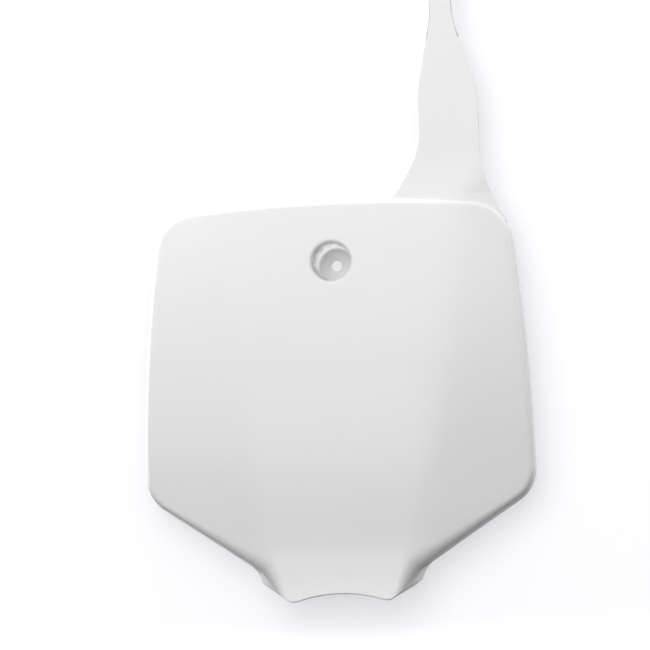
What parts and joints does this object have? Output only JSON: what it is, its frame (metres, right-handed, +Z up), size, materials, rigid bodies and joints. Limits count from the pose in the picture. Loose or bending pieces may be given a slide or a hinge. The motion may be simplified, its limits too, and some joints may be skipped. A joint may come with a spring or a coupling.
{
  "type": "motorbike front number plate",
  "caption": "Thin moulded front plate for an off-road motorbike, with a deep bolt cup, rolled-back edges, a flared foot and a long strap that buttons on behind",
  "frame": {"origin": "centre of the bolt hole, on the flat seat at the back of the bolt cup", "axes": "+Z up along the strap, +X to the right of someone facing the plate, front face toward -Y"},
  "size_m": [0.2358, 0.0352, 0.4664],
  "materials": {
    "white_plastic": "glossy white moulded polypropylene"
  },
  "bodies": {
    "root": {"number_plate": "white_plastic"}
  },
  "joints": []
}
